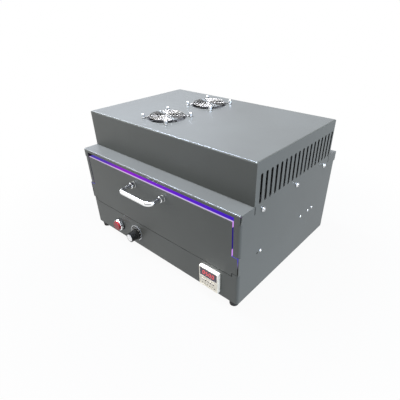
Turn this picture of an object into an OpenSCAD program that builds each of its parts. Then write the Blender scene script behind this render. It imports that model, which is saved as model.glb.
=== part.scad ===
// Bench-top drawer oven with ultraviolet LED curing lamps.
// Units are millimetres. X runs to the right, Y to the back and Z up.
// The origin lies on the table under the middle of the whole object.

/* [Case] */
// Width over the two side plates
case_w = 460; // [440:1:500]
// Depth from the front plane to the rear plane
case_d = 355; // [350:1:400]
// Height of the lower body, from its bottom edge to the ledges
case_h = 200; // [195:1:230]
// Height of the hood above the ledges
hood_h = 80; // [70:1:100]
// Depth of the front ledge, from the front plane to the hood
ledge_front = 37; // [30:1:45]
// Depth of the rear ledge, from the hood to the rear plane
ledge_rear = 32; // [28:1:45]
// Thickness of the outer sheets
sheet = 1.5; // [1.2:0.1:2]
// Outer radius of the folded edges
bend_r = 3; // [2:0.5:4]
// Outer radius of the upright folds at the front corners
corner_r = 6; // [4:0.5:8]
// How far the rear lip and the rear corner ears stand out of the rear plane
ear_out = 4; // [2:0.5:5]
// Height of the rear corner ears
ear_h = 20; // [14:1:22]
// Height of the lip under the edge of each ledge
lip_h = 7; // [5:0.5:10]
// Width of the upright flanges at the front and rear corners
flange_w = 14; // [12:0.5:16]
// Width of the floor returns that the base tray lies on
return_w = 22; // [18:1:28]

/* [Side vents and screws] */
// Number of upright slots in each side of the hood
slot_n = 18; // [8:1:18]
// Distance from slot to slot
slot_pitch = 15.4; // [12:0.1:15.4]
// Width of a slot
slot_w = 6.6; // [4:0.1:7]
// Length of a slot
slot_l = 56; // [40:1:60]
// Distance of the first slot from the front plane
slot_y = 53; // [48:1:53]
// Width of the relief cuts beside the ledges
relief_w = 2; // [0.8:0.1:2.4]
// Distance of the front lamp plate screws from the front plane
lamp_screw_front = 64; // [58:1:80]
// Distance of the rear lamp plate screws from the rear plane
lamp_screw_rear = 55; // [50:1:80]

/* [Front panel] */
// Height of the control panel
panel_h = 64.2; // [63:0.1:66]
// Height of the control row, measured from the bottom edge
control_z = 29.5; // [28:0.5:32]
// Side position of the push button
button_x = -129; // [-160:1:-110]
// Side position of the dial
dial_x = -65; // [-80:1:-40]
// Side position of the timer
timer_x = 164; // [120:1:170]

/* [Drawer] */
// Gap between the drawer front and the control panel
seam_gap = 1.2; // [0.8:0.1:1.6]
// Gap at each side of the narrow upper part of the drawer front
side_gap = 2.8; // [2:0.1:4]
// Drop from the ledge to the top edge of the drawer front
top_drop = 16; // [12:0.5:20]
// Depth of the folded drawer front
front_depth = 12; // [10:0.5:14]
// Thickness of the drawer and chamber sheets
thin = 1.2; // [1:0.1:1.5]
// Depth of the tray inside its front wall
tray_d = 322; // [280:1:324]
// Height of the tray walls
tray_h = 110; // [80:1:110]
// Travel of the drawer
drawer_travel = 280; // [200:1:280]
// Distance between the two handle legs
handle_pitch = 90; // [70:1:120]
// Diameter of the handle bar
handle_d = 10; // [8:0.5:12]
// Distance from the drawer front to the middle of the grip
handle_out = 38; // [32:1:45]
// Height of the handle, measured down from the top edge of the drawer front
handle_drop = 17; // [14:0.5:30]

/* [Slides] */
// Height of the fixed slide member
slide_h = 45; // [45:0.5:45.5]
// Height of the slide axis, measured from the bottom edge
slide_z = 92; // [91.5:0.1:92.5]
// Length of the slide members
slide_l = 320; // [300:1:322]
// Radius of the slide balls
ball_r = 1.6; // [1.5:0.05:1.65]
// Number of balls in each row
ball_n = 6; // [4:1:7]

/* [Lamp and heat sink] */
// Depth of the heat sink
sink_d = 125; // [100:1:140]
// Distance of the heat sink from the front plane
sink_y = 95; // [80:1:110]
// Height of the heat sink with its fins
sink_h = 22; // [18:1:26]
// Gap between the heat sink and each side plate
sink_gap = 16.5; // [14:0.5:24]
// Number of fins
fin_n = 41; // [21:2:41]
// Number of lamp chips across
chip_nx = 14; // [8:1:16]
// Number of lamp chips front to back
chip_ny = 4; // [3:1:5]

/* [Fans] */
// Side length of a fan frame
fan_size = 80; // [80:1:84]
// Distance between the fan screws
fan_pitch = 71.5; // [71:0.1:72]
// Depth of a fan
fan_d = 25; // [20:1:30]
// Side position of the fans
fan_x = -54; // [-80:1:-40]
// Distance between the two fans
fan_step = 135; // [110:1:135]
// Diameter of the outlet holes in the hood
fan_hole_d = 84; // [80:0.5:86]
// Thickness of the guard wire
wire_d = 1.8; // [1.6:0.1:2.4]
// Height of the guard rings above the hood
guard_h = 4.5; // [4.5:0.1:7]
// Diameter of the largest guard ring
guard_d = 74; // [70:0.5:76]
// Number of guard rings
guard_n = 6; // [4:1:7]

/* [Controls] */
// Side length of the timer bezel
timer_w = 48; // [48:0.5:50]
// How far the timer bezel stands out
timer_out = 7.5; // [5:0.5:8]
// Diameter of the dial plate
dial_d = 37; // [37:0.5:42]
// Height of the dial plate's middle above the knob
plate_rise = 4; // [0:0.5:4.5]
// Diameter of the knob at its skirt
knob_d = 27; // [24:0.5:30]
// Length of the knob
knob_l = 20; // [18:0.5:24]
// Diameter of the potentiometer shaft
shaft_d = 6; // [5.8:0.1:6.4]
// Diameter of the push button cap
cap_d = 24; // [20:0.5:24]
// How far the push button cap stands out
cap_out = 12.5; // [12:0.5:15]
// Travel of the push button
button_travel = 3; // [2:0.5:3]
// Number of timer keys
key_n = 5; // [4:1:5]
// Travel of a timer key
key_travel = 0.6; // [0.4:0.1:0.8]

/* [Feet and inlet] */
// Height of the rubber feet
foot_h = 14; // [10:0.5:16]
// Diameter of the rubber feet
foot_d = 20; // [16:0.5:22]
// Distance of the feet from the side planes
foot_x = 16; // [14:0.5:17]
// Distance of the feet from the front and rear planes
foot_y = 12; // [12:0.5:20]
// Side position of the power inlet
inlet_x = 160; // [100:1:170]

/* [Hidden] */
$fn = 48;

paint = [0.33, 0.35, 0.37];
bright = [0.80, 0.81, 0.83];
steel = [0.62, 0.64, 0.66];
black = [0.08, 0.08, 0.09];
cream = [0.93, 0.90, 0.84];

seat = 0.3;                          // clearance of pieces that lie beside each other
over = 1;                            // how far a cut runs past a face
half_w = case_w / 2;
inner_w = half_w - sheet;            // inner faces of the side plates
flange_x = half_w - flange_w;        // inner edges of the corner flanges
hood_y0 = ledge_front;
hood_y1 = case_d - ledge_rear;
top_z = case_h + hood_h;
ear_foot = ear_out / 2;              // height of the slope under an ear
ear_z = case_h - ear_h - ear_foot;   // where the ears leave the corner
relief_h = 16;                       // depth of the relief cuts
lip_x = inner_w - 0.7;               // ends of the front lip
notch_z = case_h - 18;               // foot of the notch beside the front lip
lamp_screw_back = case_d - lamp_screw_rear;
lamp_screw_y = [lamp_screw_front, (lamp_screw_front + lamp_screw_back) / 2, lamp_screw_back];
fan_share = 0.5;                   // middle of the two fans along the hood
fan_mid_y = hood_y0 + fan_share * (hood_y1 - hood_y0);
fan_y = [fan_mid_y - fan_step / 2, fan_mid_y + fan_step / 2];

// slides and the window in the corner flanges that they pass through
race_in = ball_r + 0.3;
race_out = race_in + thin;
race_cut = 0.8;                      // half the gap between two facing races
slide_t = 13;
row_u = 6;
row_v = slide_h / 2 - race_out;
inner_u = 8.2;
inner_v = row_v - 5.4;
mid_web_u = row_u - race_out;
window_gap = 1.55;                    // room round the middle slide members
window_h = 2 * (row_v - race_cut + window_gap);
window_z0 = slide_z - window_h / 2 + 0.15;
window_z1 = window_z0 + window_h;

// drawer
front_z0 = panel_h + seam_gap;
front_z1 = case_h - top_drop;
upper_x = flange_x - side_gap;
wide_x = inner_w - 2;
lower_x = flange_x - 1.5;
wide_gap = 0.9;
tray_x = inner_w - thin - slide_t;
tray_z = front_z0 + 2.6;
tray_y = front_depth;

// chamber
liner_z = panel_h - sheet - seat - thin;
liner_y0 = corner_r;                 // clear of the front folds
liner_y1 = case_d - sheet - 7;
lamp_z = case_h - 12.7;              // underside of the lamp plate
liner_top = lamp_z - 11.3;
lamp_y0 = front_depth + 2;
lamp_y1 = liner_y1 + 1;
lamp_screw_z = lamp_z - 2.3;
board_t = 1.6;
board_z = lamp_z + thin;
sink_x = inner_w - sink_gap;
sink_z = board_z + board_t;

handle_z = front_z1 - handle_drop;
front_most = handle_out + handle_d / 2;
case_y = (front_most - case_d - ear_out) / 2;

// ---------- helpers ----------

module in_case() { translate([0, case_y, foot_h]) children(); }

module both_sides() {
    children();
    mirror([1, 0, 0]) children();
}

// a block between two corners
module block(x0, x1, y0, y1, z0, z1) {
    translate([x0, y0, z0]) cube([x1 - x0, y1 - y0, z1 - z0]);
}

// a profile drawn in depth and height, run across the width
module across(l) { rotate([90, 0, 90]) linear_extrude(l, center = true) children(); }

// a profile drawn in width and height, run from y0 back to y1
module run_back(y0, y1) { translate([0, y1, 0]) rotate([90, 0, 0]) linear_extrude(y1 - y0) children(); }

module rod_y(x, z, y0, y1, r) { translate([x, y1, z]) rotate([90, 0, 0]) cylinder(h = y1 - y0, r = r); }

module rod_x(x0, x1, y, z, r) { translate([x0, y, z]) rotate([0, 90, 0]) cylinder(h = x1 - x0, r = r); }

// a hexagon rod along Y
module hex_y(x, z, y0, y1, r) {
    translate([x, y1, z]) rotate([90, 0, 0]) cylinder(h = y1 - y0, r = r, $fn = 6);
}

module rounded_square(w, h, r) {
    translate([-w / 2 + r, -h / 2]) square([w - 2 * r, h]);
    translate([-w / 2, -h / 2 + r]) square([w, h - 2 * r]);
    for (x = [-1, 1], y = [-1, 1]) translate([x * (w / 2 - r), y * (h / 2 - r)]) circle(r);
}

// what a bend takes off a square corner at the origin
module corner_off(r) {
    difference() {
        translate([-over, -over]) square(r + over);
        translate([r, r]) circle(r);
    }
}

module slot_shape(l, w) {
    translate([-w / 2, w / 2]) square([w, l - w]);
    translate([0, w / 2]) circle(w / 2);
    translate([0, l - w / 2]) circle(w / 2);
}

knuckle = 1.04;                       // bend of a wire, against its thickness

// a round wire between two points
module wire(p, q, r) {
    d = q - p;
    l = norm(d);
    translate(p) rotate([0, acos(d[2] / l), atan2(d[1], d[0])]) cylinder(h = l, r = r);
}

module wire_path(points, r) {
    for (i = [0 : len(points) - 2]) wire(points[i], points[i + 1], r);
    for (i = [1 : len(points) - 2]) translate(points[i]) sphere(r * knuckle);
}

// ---------- case ----------

module side_outline() {
    polygon([
        [0, 0], [case_d, 0], [case_d, ear_z], [case_d + ear_out, ear_z + ear_foot],
        [case_d + ear_out, case_h - sheet], [case_d + ear_out - sheet, case_h], [0, case_h]]);
    translate([(hood_y0 + hood_y1) / 2, top_z / 2]) rounded_square(hood_y1 - hood_y0, top_z, bend_r);
}

module cover_blank() {
    intersection() {
        across(case_w) side_outline();
        run_back(-over, case_d + ear_out + over) {
            translate([-half_w, 0]) square([case_w, top_z - bend_r]);
            translate([0, top_z / 2]) rounded_square(case_w, top_z, bend_r);
        }
    }
}

// the opening of one end of the lower body, with its corner flanges left standing up to z1
module end_opening(z1) {
    block(-flange_x, flange_x, -over, sheet + over, -over, case_h + over);
    block(-inner_w, inner_w, -over, sheet + over, z1, case_h + over);
    block(-inner_w, inner_w, -ear_out - over, 0, ear_z - over, case_h + over);
}

// room between the upright folds at the front
module inside_front_folds() {
    fold_x = half_w - corner_r;
    translate([-fold_x, sheet]) square([2 * fold_x, corner_r]);
    translate([-inner_w, corner_r]) square([2 * inner_w, over]);
    for (x = [-fold_x, fold_x]) translate([x, corner_r]) circle(corner_r - sheet);
}

// notch that leaves the front edge of a side plate slanting back beside the lip
module lip_notch() {
    l = half_w + over - lip_x;
    translate([lip_x + l / 2, 0, 0]) across(l)
        polygon([[-over, notch_z], [1, notch_z], [4, case_h + over], [-over, case_h + over]]);
}

module from_rear() { translate([0, case_d, 0]) mirror([0, 1, 0]) children(); }

module slide_screw_holes(r) {
    for (y = slide_hole_y) rod_x(-half_w - over, half_w + over, y, slide_z, r);
}

module lamp_screw_holes(r) {
    for (y = lamp_screw_y) rod_x(-half_w - over, half_w + over, y, lamp_screw_z, r);
}

module foot_places() {
    for (x = [-1, 1], y = [foot_y, case_d - foot_y]) translate([x * (half_w - foot_x), y, 0]) children();
}

module fan_places() { for (y = fan_y) translate([fan_x, y, top_z]) children(); }

module fan_screw_places() {
    for (x = [-1, 1], y = [-1, 1]) translate([x * fan_pitch / 2, y * fan_pitch / 2, 0]) children();
}

module outer_cover() color(paint) in_case() difference() {
    cover_blank();
    // inside of the lower body and of the hood
    block(-inner_w, inner_w, corner_r, hood_y0, sheet, case_h + over);
    block(-inner_w, inner_w, sheet, corner_r + over, notch_z, case_h + over);
    translate([0, 0, sheet]) linear_extrude(notch_z - sheet) inside_front_folds();
    block(-inner_w, inner_w, hood_y0 - over, hood_y1 + over, sheet, case_h);
    block(-inner_w, inner_w, hood_y0 + sheet, hood_y1 - sheet, sheet, top_z - sheet);
    block(-inner_w, inner_w, hood_y1, case_d - sheet, sheet, case_h + over);
    block(-half_w + return_w, half_w - return_w, -over, case_d + over, -over, sheet + over);
    end_opening(case_h - lip_h);
    from_rear() end_opening(case_h - sheet);
    both_sides() lip_notch();
    // windows that the slides pass through
    both_sides() block(flange_x - over, inner_w, -over, corner_r + over, window_z0, window_z1);
    // folded corners
    both_sides() translate([-half_w, 0, -over]) {
        linear_extrude(window_z0 + over) corner_off(corner_r);
        translate([0, 0, window_z1 + over]) linear_extrude(notch_z - window_z1) corner_off(corner_r);
    }
    both_sides() translate([-half_w, case_d, -over]) mirror([0, 1, 0])
        linear_extrude(ear_z + over) corner_off(bend_r);
    // relief cuts beside the ledges
    across(case_w + 2 * over) for (y = [hood_y0 + sheet, hood_y1 - sheet - relief_w])
        translate([y, case_h - relief_h]) square([relief_w, relief_h]);
    // vents
    across(case_w + 2 * over) for (i = [0 : slot_n - 1])
        translate([slot_y + i * slot_pitch, case_h + 0.6]) slot_shape(slot_l, slot_w);
    slide_screw_holes(2.2);
    lamp_screw_holes(2.7);
    fan_places() {
        translate([0, 0, -sheet - over]) cylinder(h = sheet + 2 * over, d = fan_hole_d);
        fan_screw_places() translate([0, 0, -sheet - over]) cylinder(h = sheet + 2 * over, r = 2.2);
    }
    foot_places() translate([0, 0, -over]) cylinder(h = sheet + 2 * over, r = 2.2);
    from_rear() rear_screw_holes(1.8);
}

// ledge with a lip that stands out by `out`, and an upturned edge inside the hood
module ledge(depth, out, lip_half) {
    inside = 14;
    rise = 12;
    difference() {
        union() {
            across(2 * inner_w) {
                translate([-out, case_h - sheet]) square([out + depth + inside, sheet]);
                translate([depth + inside - sheet, case_h - sheet]) square([sheet, rise]);
            }
            across(2 * lip_half) translate([-out, case_h - lip_h]) square([sheet, lip_h]);
        }
        across(case_w) translate([-out, case_h]) mirror([0, 1]) corner_off(min(bend_r, sheet + 0.9));
    }
}

module front_ledge() color(paint) in_case() ledge(ledge_front, 0, lip_x);

module rear_ledge() color(paint) in_case() from_rear() ledge(ledge_rear, ear_out, inner_w);

module control_panel() color(paint) in_case() difference() {
    union() {
        block(-flange_x, flange_x, 0, sheet, 0, panel_h);
        block(-flange_x, flange_x, 0, front_depth, panel_h - sheet, panel_h);
        block(-half_w + return_w, half_w - return_w, 0, front_depth, 0, sheet);
    }
    timer_body_w = timer_w - 3;
    translate([timer_x, sheet / 2, timer_z])
        cube([timer_body_w, sheet + 2 * over, timer_body_w], center = true);
    rod_y(button_x, control_z, -over, sheet + over, barrel_r + 0.2);
    rod_y(dial_x, control_z, -over, sheet + over, bush_r + 0.2);
}

module base_tray() color(steel) in_case() difference() {
    lift = 14;
    union() {
        block(-inner_w, inner_w, liner_y0, case_d - 2 * sheet, sheet, 2 * sheet);
        both_sides() block(-inner_w, -inner_w + sheet, liner_y0, case_d - 2 * sheet, sheet, sheet + lift);
        block(-inner_w, inner_w, case_d - 3 * sheet, case_d - 2 * sheet, sheet, sheet + lift);
    }
    foot_places() cylinder(h = 3 * sheet, r = 2.2);
    block(inlet_x - 25, inlet_x + 25, case_d - 4 * sheet, case_d, 2 * sheet, lift + 2 * sheet);
    from_rear() rear_screw_holes(2.2);
}

module feet() color(black) in_case() foot_places() difference() {
    union() {
        translate([0, 0, -foot_h]) cylinder(h = foot_h, d1 = foot_d - 2, d2 = foot_d);
        translate([0, 0, -foot_h / 3]) cylinder(h = foot_h / 3, d = foot_d);
    }
    translate([0, 0, -foot_h - over]) cylinder(h = foot_h + 2 * over, r = 2.2);
    translate([0, 0, -foot_h - over]) cylinder(h = foot_h / 2 + over, r = 4.6);
}

module foot_screws() color(steel) in_case() foot_places() {
    translate([0, 0, -foot_h / 2 - 2.4]) cylinder(h = 2.4, r = 4);
    translate([0, 0, -foot_h / 2]) cylinder(h = foot_h / 2 + 2 * sheet + 5, r = 2);
    translate([0, 0, 2 * sheet]) difference() {
        cylinder(h = 3.2, r = 4, $fn = 6);
        translate([0, 0, -over]) cylinder(h = 3.2 + 2 * over, r = 2.04);
    }
}

// a domed screw head with its cross recess, on the right side plate
module side_screw(y, z, r, h, shank_r, shank_l) {
    translate([half_w, y, z]) rotate([0, 90, 0]) {
        difference() {
            union() {
                cylinder(h = h * 0.45, r = r);
                translate([0, 0, h * 0.45]) cylinder(h = h * 0.55, r1 = r, r2 = r * 0.62);
            }
            for (a = [0, 90]) rotate([0, 0, a + 45]) translate([-r * 0.5, -r * 0.11, h * 0.45])
                cube([r, r * 0.22, h]);
        }
        translate([0, 0, -shank_l]) cylinder(h = shank_l, r = shank_r);
    }
}

module lamp_screws() color(bright) in_case() both_sides()
    for (y = lamp_screw_y) side_screw(y, lamp_screw_z, 4.9, 3.8, 2.5, sheet + thin + 5);

module slide_screws() color(bright) in_case() both_sides()
    for (y = slide_screw_y) side_screw(y, slide_z, 3.2, 1.6, 2, sheet + 2 * thin + 0.4);

module rear_screw_holes(r) {
    for (x = [-1, 1], z = [9, case_h / 2, case_h - 20]) rod_y(x * (half_w - 8), z, -over, 4 * sheet, r);
}

module rear_panel() color(paint) in_case() difference() {
    from_rear() block(-inner_w + 0.2, inner_w - 0.2, sheet, 2 * sheet, sheet, case_h - sheet);
    from_rear() rear_screw_holes(1.8);
    translate([inlet_x, case_d - 1.5 * sheet, inlet_z])
        cube([inlet_w + 0.6, sheet + 2 * over, inlet_h + 0.6], center = true);
    for (x = [-20, 20]) rod_y(inlet_x + x, inlet_z, case_d - 2 * sheet - over, case_d, 1.7);
}

// a pan head screw that enters from the rear
module rear_screw(x, z, seat_y) {
    rod_y(x, z, seat_y - 1.6, seat_y, 3.2);
    rod_y(x, z, seat_y - 0.2, 3 * sheet, 1.6);
}

module rear_screws() color(bright) in_case() from_rear() {
    for (x = [-1, 1], z = [9, case_h / 2, case_h - 20]) rear_screw(x * (half_w - 8), z, 0);
    for (x = [-20, 20]) rear_screw(inlet_x + x, inlet_z, plate_y);
}

// ---------- chamber and lamp ----------

module chamber_liner() color(bright) in_case() difference() {
    union() {
        block(-inner_w, inner_w, liner_y0, liner_y1, liner_z, liner_z + thin);
        both_sides() block(-inner_w, -inner_w + thin, liner_y0, liner_y1, liner_z, liner_top);
        block(-inner_w, inner_w, liner_y1 - thin, liner_y1, liner_z, liner_top);
    }
    slide_screw_holes(2.2);
}

module lamp_window_cut() {
    block(-sink_x + 12, sink_x - 12, sink_y + 8, sink_y + sink_d - 8, lamp_z - over, board_z + over);
}

module lamp_plate() color(bright) in_case() difference() {
    union() {
        block(-inner_w, inner_w, lamp_y0, lamp_y1, lamp_z, board_z);
        both_sides() block(-inner_w, -inner_w + thin, lamp_y0, lamp_y1, liner_top + 0.2, board_z);
        for (y = [lamp_y0, lamp_y1 - thin])
            block(-inner_w, inner_w, y, y + thin, lamp_z, case_h - sheet);
    }
    lamp_window_cut();
    lamp_screw_holes(2.6);
    // notch that the leads pass through
    block(way_x(-3) - 6, riser_x + 12, lamp_y1 - thin - over, lamp_y1 + over, board_z, case_h);
}

module lamp_board() color([0.90, 0.90, 0.86]) in_case()
    block(-sink_x + 6, sink_x - 6, sink_y + 2, sink_y + sink_d - 2, board_z, sink_z);

module lamp_chips() color([0.55, 0.30, 0.95]) in_case() {
    span_x = 2 * (sink_x - 24);
    span_y = sink_d - 36;
    for (i = [0 : chip_nx - 1], j = [0 : chip_ny - 1])
        translate([-span_x / 2 + i * span_x / (chip_nx - 1),
                   sink_y + sink_d / 2 - span_y / 2 + j * span_y / (chip_ny - 1), board_z]) {
            translate([-1.9, -1.9, -0.8]) cube([3.8, 3.8, 0.8]);
            translate([0, 0, -1.4]) cylinder(h = 0.6, r1 = 0.9, r2 = 1.6);
        }
}

module heat_sink() color(bright) in_case() {
    base_t = 4;
    fin_t = 1.5;
    block(-sink_x, sink_x, sink_y, sink_y + sink_d, sink_z, sink_z + base_t);
    for (i = [0 : fin_n - 1])
        translate([-sink_x + i * (2 * sink_x - fin_t) / (fin_n - 1), sink_y, sink_z])
            cube([fin_t, sink_d, sink_h]);
}

// ---------- fans ----------

// chrome wire guard, lying on the hood round the outlet hole
module fan_guard() {
    r = wire_d / 2;
    eye = fan_pitch / sqrt(2);
    eye_r = 2.4 + r;
    spoke_z = guard_h - wire_d * 0.9;
    spoke_end = guard_d / 2 + 1;
    ring_gap = (guard_d / 2 - guard_r0) / (guard_n - 1);
    for (i = [0 : guard_n - 1]) translate([0, 0, guard_h]) rotate_extrude()
        translate([guard_r0 + i * ring_gap, 0]) circle(r, $fn = 24);
    for (a = [45, 135]) rotate([0, 0, a]) {
        wire([-spoke_end, 0, spoke_z], [spoke_end, 0, spoke_z], r);
        for (s = [-1, 1]) {
            wire([s * spoke_end, 0, spoke_z], [s * (eye - eye_r), 0, r], r);
            translate([s * spoke_end, 0, spoke_z]) sphere(r * knuckle);
            translate([s * eye, 0, r]) rotate_extrude() translate([eye_r, 0]) circle(r, $fn = 24);
        }
    }
}

module fan_guard_front() color(bright) in_case() translate([fan_x, fan_y[0], top_z]) fan_guard();

module fan_guard_rear() color(bright) in_case() translate([fan_x, fan_y[1], top_z]) fan_guard();

guard_r0 = 5;                         // smallest guard ring
fan_bore_r = fan_size / 2 - 2;
fan_plate = 4;                        // corner plates of the fan frame
hub_r = 19;
pin_r = 1.5;
strut_t = 3;

// fan frame with its motor seat; the rotor spins above the struts
module fan_frame() translate([0, 0, -sheet - fan_d]) {
    difference() {
        linear_extrude(fan_d) rounded_square(fan_size, fan_size, 4);
        translate([0, 0, -over]) cylinder(h = fan_d + 2 * over, r = fan_bore_r);
        fan_screw_places() translate([0, 0, -over]) cylinder(h = fan_d + 2 * over, r = 2.1);
        // waist between the two corner plates
        for (a = [0 : 90 : 270]) rotate([0, 0, a + 45])
            translate([fan_pitch / sqrt(2) - 8.5, -16, fan_plate]) cube([30, 32, fan_d - 2 * fan_plate]);
    }
    difference() {
        cylinder(h = strut_t, r = hub_r);
        translate([0, 0, -over]) cylinder(h = strut_t + 2 * over, r = pin_r + 0.05);
    }
    difference() {
        cylinder(h = fan_d - 9, r = 6);
        translate([0, 0, -over]) cylinder(h = fan_d, r = pin_r + 0.05);
    }
    for (a = [20, 110, 200, 290]) rotate([0, 0, a]) translate([hub_r - 1, -2, 0])
        cube([fan_bore_r - hub_r + 2, 4, strut_t]);
}

module fan_frame_front() color(black) in_case() translate([fan_x, fan_y[0], top_z]) fan_frame();

module fan_frame_rear() color(black) in_case() translate([fan_x, fan_y[1], top_z]) fan_frame();

module fan_rotor() translate([0, 0, -sheet - fan_d]) {
    hub_z = strut_t + 1;
    blade_h = fan_d - strut_t - 4;
    blade_n = 7;
    difference() {
        translate([0, 0, hub_z]) cylinder(h = blade_h + 1, r = hub_r - 1);
        translate([0, 0, hub_z - over]) cylinder(h = blade_h - 1 + over, r = hub_r - 2.5);
    }
    translate([0, 0, over]) cylinder(h = hub_z + blade_h - over, r = pin_r);
    for (i = [0 : blade_n - 1]) rotate([0, 0, i * 360 / blade_n]) intersection() {
        difference() {
            translate([0, 0, hub_z + 0.5]) cylinder(h = blade_h, r = fan_bore_r - 1.5);
            translate([0, 0, hub_z]) cylinder(h = blade_h + 2, r = hub_r - 1.6);
        }
        // a curved sheet, tilted to the pitch of the blade
        translate([0, 0, hub_z + blade_h / 2]) rotate([38, 0, 0]) translate([0, 0, -60]) rotate([0, 90, 0])
            difference() {
                cylinder(h = fan_bore_r, r = 60.8, $fn = 96);
                translate([0, 0, -over]) cylinder(h = fan_bore_r + 2 * over, r = 59.4, $fn = 96);
            }
    }
}

module fan_rotor_front() color(black) in_case() translate([fan_x, fan_y[0], top_z]) fan_rotor();

module fan_rotor_rear() color(black) in_case() translate([fan_x, fan_y[1], top_z]) fan_rotor();

// screws from below, each with a domed cap nut on the eye of the guard
module fan_screws() color(bright) in_case() fan_places() fan_screw_places() {
    nut_z = wire_d + 0.1;
    nut_h = 4.6;
    head_h = 2.4;
    translate([0, 0, nut_z]) cylinder(h = nut_h, d = 7 / cos(30), $fn = 6);
    translate([0, 0, nut_z + nut_h - 0.1]) sphere(3.3);
    translate([0, 0, -sheet - fan_plate]) cylinder(h = sheet + fan_plate + nut_z + 2, r = 2);
    translate([0, 0, -sheet - fan_plate - head_h]) cylinder(h = head_h, r = 3.6);
}

// ---------- electrics ----------

inlet_w = 27;
inlet_h = 20;
inlet_z = 32;
plate_y = sheet - 2.2;               // outer face of the inlet's flange

module power_inlet() color(black) in_case() from_rear() translate([inlet_x, 0, inlet_z]) {
    difference() {
        union() {
            run_back(plate_y, sheet) rounded_square(49, 23, 4);
            run_back(plate_y, 19) rounded_square(inlet_w, inlet_h, 2);
        }
        run_back(plate_y - over, 15) rounded_square(24.4, 17, 3);
        for (x = [-20, 20]) rod_y(x, 0, -over - 1, sheet + over, 1.7);
    }
    for (p = [[-7, -2], [0, 2], [7, -2]]) translate([p[0] - 1, 5.5, p[1] - 2.5]) cube([2, 18, 5]);
}

driver_l = 170;
driver_w = 68;
driver_h = 38;
driver_y = case_d / 2 - 48;
block_x = half_w - 80;               // terminal block, behind the driver
block_y = driver_y + driver_w + 42;
block_w = 18;
way_pitch = 10;                      // from way to way of the block
lead_r = 1.5;
riser_x = half_w - 45;               // fan leads on the rear panel

function way_x(i) = block_x + way_pitch * i;

// case of the lamp driver, with its end covers and feet
module lamp_driver() color([0.75, 0.76, 0.78]) in_case() translate([0, driver_y, 2 * sheet]) {
    difference() {
        translate([-driver_l / 2, 0, 0]) cube([driver_l, driver_w, driver_h]);
        for (i = [-6 : 6]) translate([i * 11 - 2, -over, 10]) cube([4, over + 1, driver_h - 18]);
        for (i = [-6 : 6]) translate([i * 11 - 2, driver_w - 1, 10]) cube([4, over + 1, driver_h - 18]);
    }
    for (s = [-1, 1]) difference() {
        translate([s * (driver_l / 2 + 6) - 6, 8, 0]) cube([12, driver_w - 16, 2]);
        for (y = [16, driver_w - 16])
            translate([s * (driver_l / 2 + 6), y, -over]) cylinder(h = 4, r = 2.1);
    }
}

module terminal_block() color(cream) in_case() translate([block_x, block_y, 2 * sheet]) difference() {
    translate([-3.6 * way_pitch, -block_w / 2, 0]) cube([7.2 * way_pitch, block_w, 15]);
    for (i = [-3 : 3]) translate([i * way_pitch, 0, 4]) {
        cylinder(h = 12, r = 2.4);
        rotate([90, 0, 0]) cylinder(h = block_w + 2, r = 1.9, center = true);
    }
}

// leads that run clipped along the base and up behind the chamber
module wiring() color([0.15, 0.15, 0.17]) in_case() {
    base_z = 2 * sheet + lead_r * knuckle + 0.05;
    way_z = 2 * sheet + 4;
    block_front = block_y - block_w / 2 - seat;
    block_back = block_y + block_w / 2 + seat;
    driver_end = driver_l / 2 + seat;
    rear_y = case_d - sheet - 3.5;
    inlet_back = case_d - 23.5 - seat;
    plenum_z = sink_z + 2.5;
    fan_side = fan_x + fan_size / 2;
    fan_lead_y = 28;
    fan_lead_z = top_z - 16;
    // mains leads, from the inlet to the block
    for (i = [-1, 0, 1]) wire_path([
        [inlet_x + 7 * i, inlet_back, inlet_z - 2 + 4 * (1 - abs(i))],
        [inlet_x + 7 * i, inlet_back - 4, inlet_z - 2 + 4 * (1 - abs(i))],
        [inlet_x + 7 * i, inlet_back - 14, inlet_z - 10],
        [way_x(i), block_back + 26, way_z + 4],
        [way_x(i), block_back, way_z]], lead_r);
    // from the block to the driver
    for (i = [-1, 0]) wire_path([
        [way_x(i), block_front, way_z],
        [way_x(i), block_front - 16, base_z],
        [block_x - 30 + 6 * i, driver_y + 35 + 6 * i, base_z],
        [driver_end + 8, driver_y + 35 + 6 * i, 14],
        [driver_end, driver_y + 35 + 6 * i, 14]], lead_r);
    // up behind the chamber to the lamp
    for (i = [-2, -3]) wire_path([
        [way_x(i), block_back, way_z],
        [way_x(i), rear_y - 51, 20],
        [way_x(i), rear_y, 50],
        [way_x(i), rear_y, plenum_z],
        [way_x(i), rear_y - 51, plenum_z],
        [way_x(i), sink_y + sink_d + seat, plenum_z]], lead_r);
    // up behind the chamber to the fans
    for (i = [0, 1]) wire_path([
        [way_x(i + 2), block_back, way_z],
        [way_x(i + 2), rear_y - 51, 20],
        [riser_x + 6 * i, rear_y, 50],
        [riser_x + 6 * i, rear_y, plenum_z],
        [riser_x + 6 * i, rear_y - 51 - 6 * i, plenum_z],
        [fan_side + 44, rear_y - 51 - 6 * i, plenum_z + 30],
        [fan_side + 12, fan_y[1 - i] + fan_lead_y, fan_lead_z],
        [fan_side + seat, fan_y[1 - i] + fan_lead_y, fan_lead_z]], lead_r);
    // from the block to the timer
    for (i = [1, 2]) wire_path([
        [way_x(i), block_front, way_z],
        [way_x(i), block_front - 30, base_z],
        [timer_x - 14 + 12 * i, driver_y, base_z],
        [timer_x - 14 + 12 * i, timer_back + 20, timer_z],
        [timer_x - 14 + 12 * i, timer_back + seat, timer_z]], lead_r);
}

// ---------- timer ----------

timer_z = 32;
timer_back = 74;
window_w = 42.8;
window_t = 19.3;
window_mid = timer_z + timer_w / 2 - 3 - window_t / 2;
key_w = 4.8;
key_h = 4;
key_pitch = 6.7;
key_z = timer_z - 7;
key_gap = 0.3;

module key_places() {
    for (i = [0 : key_n - 1]) translate([timer_x + (i - (key_n - 1) / 2) * key_pitch, 0, key_z]) children();
}

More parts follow.
